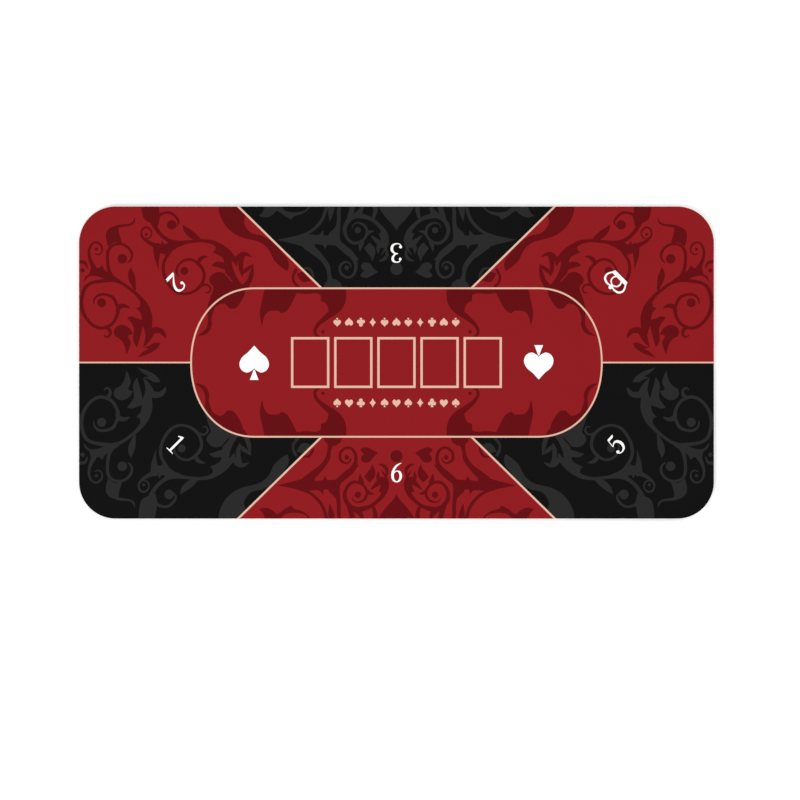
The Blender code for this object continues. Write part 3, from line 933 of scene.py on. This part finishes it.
def layer_piece(name, plan, top_at, bottom, rounding, look):
    """A flat layer with softly rounded rims: its plan raised to top_at(x), and closed below."""
    points, triangles = plan
    build = bmesh.new()
    used = sorted({i for triangle in triangles for i in triangle})
    tops = {i: build.verts.new((*points[i], top_at(points[i].x))) for i in used}
    lows = {i: build.verts.new((*points[i], bottom)) for i in used}
    for a, b, c in triangles:
        build.faces.new((tops[a], tops[b], tops[c]))
        build.faces.new((lows[c], lows[b], lows[a]))
    sides = dict.fromkeys(pair for t in triangles for pair in zip(t, t[1:] + t[:1]))
    for a, b in sides:
        if (b, a) not in sides:
            build.faces.new((tops[b], tops[a], lows[a], lows[b]))
    bmesh.ops.recalc_face_normals(build, faces=build.faces)
    piece = new_piece(name, build, look)
    soften = piece.modifiers.new("rims", "BEVEL")
    soften.width = rounding
    soften.segments = 3
    soften.angle_limit = SMOOTH_ANGLE
    shade_smooth(piece)
    return piece


def ruled(xs, ys):
    """Lines right across the top at each of xs, and right along it at each of ys."""
    return [((x, -WIDTH), (x, WIDTH)) for x in xs] + [((-LENGTH, y), (LENGTH, y)) for y in ys]


def spaced(low, high, count):
    return [low + (high - low) * i / count for i in range(count + 1)]


def make_foam_pad(side, foam):
    """A sponge pad, thinner beside the fold where the hinge tape lies in it."""
    low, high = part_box(f"{side}_foam_pad")
    sign = SIDES[side]
    reach = TAPE_HALF_WIDTH + GAP
    step_height = TAPE_THICKNESS + GAP

    def top_at(x):
        return high.z - step_height if abs(x) < reach + 0.1 * MM else high.z

    xs = [sign * x for x in (reach, reach + 0.5 * MM, *spaced(0.06, LENGTH / 2, 9))]
    lines = ruled(xs, spaced(-WIDTH / 2, WIDTH / 2, 10))
    plan = ruled_plan(half_outline(side, low, high), lines)
    pad = layer_piece(f"{side}_sponge_pad", plan, top_at, low.z, 0.5 * MM, foam)
    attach(pad, BODIES[side])
    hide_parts(f"{side}_foam_pad")


def make_liner(side, felt):
    """The black felt under one board, inside the cloth's hem, with a hole for each foot's screw."""
    low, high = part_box(f"{side}_underside_liner")
    holes = []
    for number in range(1, 5):
        screw_low, screw_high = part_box(f"{side}_foot_screw_{number}")
        middle = (screw_low + screw_high) / 2
        holes += disc(middle.x, middle.y, SCREW_HOLE_RADIUS, 16)
    xs = [SIDES[side] * x for x in spaced(0.03, LENGTH / 2, 12)]
    lines = ruled(xs, spaced(-WIDTH / 2, WIDTH / 2, 12))
    plan = ruled_plan(half_outline(side, low, high), lines, holes)
    liner = layer_piece(f"{side}_felt_liner", plan, lambda x: high.z, low.z, 0.25 * MM, felt)
    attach(liner, BODIES[side])
    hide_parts(f"{side}_underside_liner")


def make_tape(cotton):
    """One woven tape across the fold, with the thicker selvedges that such tape has."""
    low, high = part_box("hinge_tape_right")
    half_x, half_y = high.x, high.y
    xs = sorted({round(x, 6) for x in (
        *fold_lines(), *spaced(-half_x, -FOLD_ZONE, 24), *spaced(FOLD_ZONE, half_x, 24)
    )})
    ys = spaced(-half_y, half_y, 145)
    build = bmesh.new()

    def thickness_at(x):
        return high.z - low.z if half_x - abs(x) < SELVEDGE else TAPE_BODY * (high.z - low.z)

    def join(first, second):
        for corners in zip(first, first[1:], second[1:], second):
            build.faces.new(corners)

    grids = [
        [[build.verts.new((x, y, low.z + level * thickness_at(x))) for y in ys] for x in xs]
        for level in (0, 1)
    ]
    for grid in grids:
        for first, second in zip(grid, grid[1:]):
            join(first, second)
    rims = [
        (grid[0], grid[-1], [row[0] for row in grid], [row[-1] for row in grid]) for grid in grids
    ]
    for under, over in zip(*rims):
        join(under, over)
    bmesh.ops.recalc_face_normals(build, faces=build.faces)
    tape = new_piece("hinge_tape", build, cotton)
    shade_smooth(tape)
    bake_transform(tape)
    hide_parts("hinge_tape_left", "hinge_tape_right")


# ---- Materials of the layers and the hard parts ----

def sponge():
    """Black closed-cell foam: small round cells, cut through at the surface, with painted shade in
    their hollows.
    """
    made, tree, shader = material("sponge", 0.9, specular=0.25)
    where = object_place(tree)
    pores = cells(tree, where, 1400.0)
    uneven = noise(tree, where, 60, 3)
    # The cut cells are painted darker towards their middles, as shade in their hollows; the uneven
    # noise varies the tone at random
    factor = product(tree, between(tree, pores, 0.55, 1.3), between(tree, uneven, 0.85, 1.15))
    feed(shader, {"Base Color": shaded(tree, linear(62, 62, 64), factor)})
    bumped(tree, shader, pores, 0.2 * MM)
    return made


def needled_felt():
    """Black non-woven felt: long crossing fibres, with the small dimples that the needles leave,
    painted darker in their middles as shade.
    """
    made, tree, shader = material("needled_felt", 0.95, specular=0.12)
    where = object_place(tree)
    fibres = maths(
        tree, "MAXIMUM",
        noise(tree, stretched(tree, where, 1, 7, 1), 900, 4),
        noise(tree, stretched(tree, where, 7, 1, 1), 800, 4),
    )
    dimples = cells(tree, where, 380.0)
    patches = noise(tree, where, 55, 5, 0.65)
    # The dimples are painted darker towards their middles, as shade; the fibres and patches vary
    # the tone at random
    factor = product(
        tree, between(tree, fibres, 0.35, 2.0, 0.45, 0.72),
        between(tree, patches, 0.7, 1.3, 0.3, 0.7), between(tree, dimples, 0.55, 1.0, 0.0, 0.35),
    )
    feed(shader, {
        "Base Color": shaded(tree, linear(46, 46, 48), factor),
        "Sheen Weight": 0.12,
    })
    bumped(tree, shader, maths(tree, "ADD", fibres, product(tree, dimples, 0.6)), 0.4 * MM)
    return made


def fibreboard():
    """Bare fibreboard: fine felted fibres, and two hard skins that are darker than the core."""
    made, tree, shader = material("fibreboard", 0.75, specular=0.25)
    low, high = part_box("right_board")
    where = object_place(tree)
    fibres = noise(tree, stretched(tree, where, 1, 1, 3), 900, 5, 0.65)
    clumps = noise(tree, where, 130, 3)
    above_middle = maths(tree, "SUBTRACT", height_of(tree, where), (low.z + high.z) / 2)
    half = (high.z - low.z) / 2
    skins = between(tree, maths(tree, "ABSOLUTE", above_middle), 1.0, 0.72, half * 0.55, half)
    factor = product(tree, between(tree, fibres, 0.7, 1.3), between(tree, clumps, 0.9, 1.1), skins)
    feed(shader, {
        "Base Color": shaded(tree, linear(176, 141, 104), factor),
        "Roughness": between(tree, fibres, 0.65, 0.88),
    })
    bumped(tree, shader, fibres, 0.12 * MM, 0.8)
    return made


def moulded_rubber():
    """Black rubber with a spark-eroded mould finish, greyed where it rubs on the table."""
    made, tree, shader = material("moulded_rubber", 0.7, specular=0.35)
    where = object_place(tree)
    grain = noise(tree, where, 3500, 3)
    dust = noise(tree, where, 260, 4)
    rubbed = between(tree, height_of(tree, where), 1.9, 1.0, 0.0, 0.6 * MM)
    factor = product(tree, rubbed, between(tree, dust, 0.75, 1.25))
    feed(shader, {
        "Base Color": shaded(tree, linear(38, 38, 39), factor),
        "Roughness": between(tree, dust, 0.55, 0.8),
    })
    bumped(tree, shader, grain, 0.06 * MM, 0.8)
    return made


def zinc_plate():
    """Zinc-plated steel, brighter and duller in patches, with fine scratches."""
    made, tree, shader = material("zinc_plate", 0.3, metallic=1.0)
    where = object_place(tree)
    patches = noise(tree, where, 900, 3)
    scratches = noise(tree, stretched(tree, where, 8, 1, 1), 1200, 3)
    feed(shader, {
        "Base Color": shaded(tree, linear(205, 205, 200), between(tree, patches, 0.82, 1.08)),
        "Roughness": between(tree, scratches, 0.22, 0.45),
    })
    bumped(tree, shader, scratches, 0.02 * MM, 0.6)
    return made


def dress(names, look):
    """Gives the CAD nodes with these names a material in place of their own."""
    for name in names:
        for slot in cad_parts[name].material_slots:
            slot.link = "OBJECT"
            slot.material = look


# ---- Floor, light and camera ----

def make_floor():
    """White paper that glows a little: the photograph's ground is pure white."""
    made, tree, shader = material("studio_floor", 0.9, specular=0.1)
    uneven = between(tree, noise(tree, object_place(tree), 3, 2), 0.985, 1.0)
    feed(shader, {
        "Base Color": shaded(tree, (0.95, 0.95, 0.95), uneven),
        "Emission Color": (1, 1, 1, 1),
        "Emission Strength": FLOOR_GLOW,
    })
    build = bmesh.new()
    bmesh.ops.create_grid(build, x_segments=8, y_segments=8, size=FLOOR_HALF)
    floor = new_piece("studio_floor", build, made)


def make_light(name, place, size, energy):
    """A round soft light, aimed at the middle of the table."""
    lamp = bpy.data.lights.new(name, "AREA")
    lamp.shape = "DISK"
    lamp.size = size
    lamp.energy = energy
    made = bpy.data.objects.new(name, lamp)
    made.location = place
    made.rotation_euler = (-Vector(place)).to_track_quat("-Z", "Y").to_euler()
    bpy.context.scene.collection.objects.link(made)


def light_studio():
    world = bpy.data.worlds.new("studio")
    world.use_nodes = True
    feed(world.node_tree.nodes["Background"], {"Color": (1, 1, 1, 1), "Strength": WORLD_STRENGTH})
    bpy.context.scene.world = world
    for light in LIGHTS:
        make_light(*light)
    bpy.context.scene.view_settings.view_transform = "Standard"


def make_camera():
    """Straight above the top, which it frames as the photograph does."""
    lens = bpy.data.cameras.new("camera")
    lens.lens = 100
    lens.sensor_width = 36
    camera = bpy.data.objects.new("camera", lens)
    distance = VIEW_WIDTH * lens.lens / lens.sensor_width
    camera.location = (*VIEW_CENTRE, CLOTH_TOP + distance)
    bpy.context.scene.collection.objects.link(camera)
    bpy.context.scene.camera = camera


def main():
    inks = [printed_cloth(ink) for ink in INKS]
    cloth = make_cloth(inks + [plain_weave("cloth_back", linear(196, 194, 190), 0.5 * MM)])
    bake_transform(cloth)
    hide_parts("playing_cloth_left", "playing_cloth_right")
    wrap = 2 * (wrap_rows()[-1][0] - EDGE_RADIUS)
    make_tape(plain_weave("black_tape", linear(40, 40, 42), 0.9 * MM, 0.5))
    foam, felt = sponge(), needled_felt()
    for side in SIDES:
        make_foam_pad(side, foam)
        make_liner(side, felt)
    dress([f"{side}_board" for side in SIDES], fibreboard())
    dress(FEET, moulded_rubber())
    dress([foot.replace("foot", "foot_screw") for foot in FEET], zinc_plate())
    make_floor()
    light_studio()
    make_camera()


main()
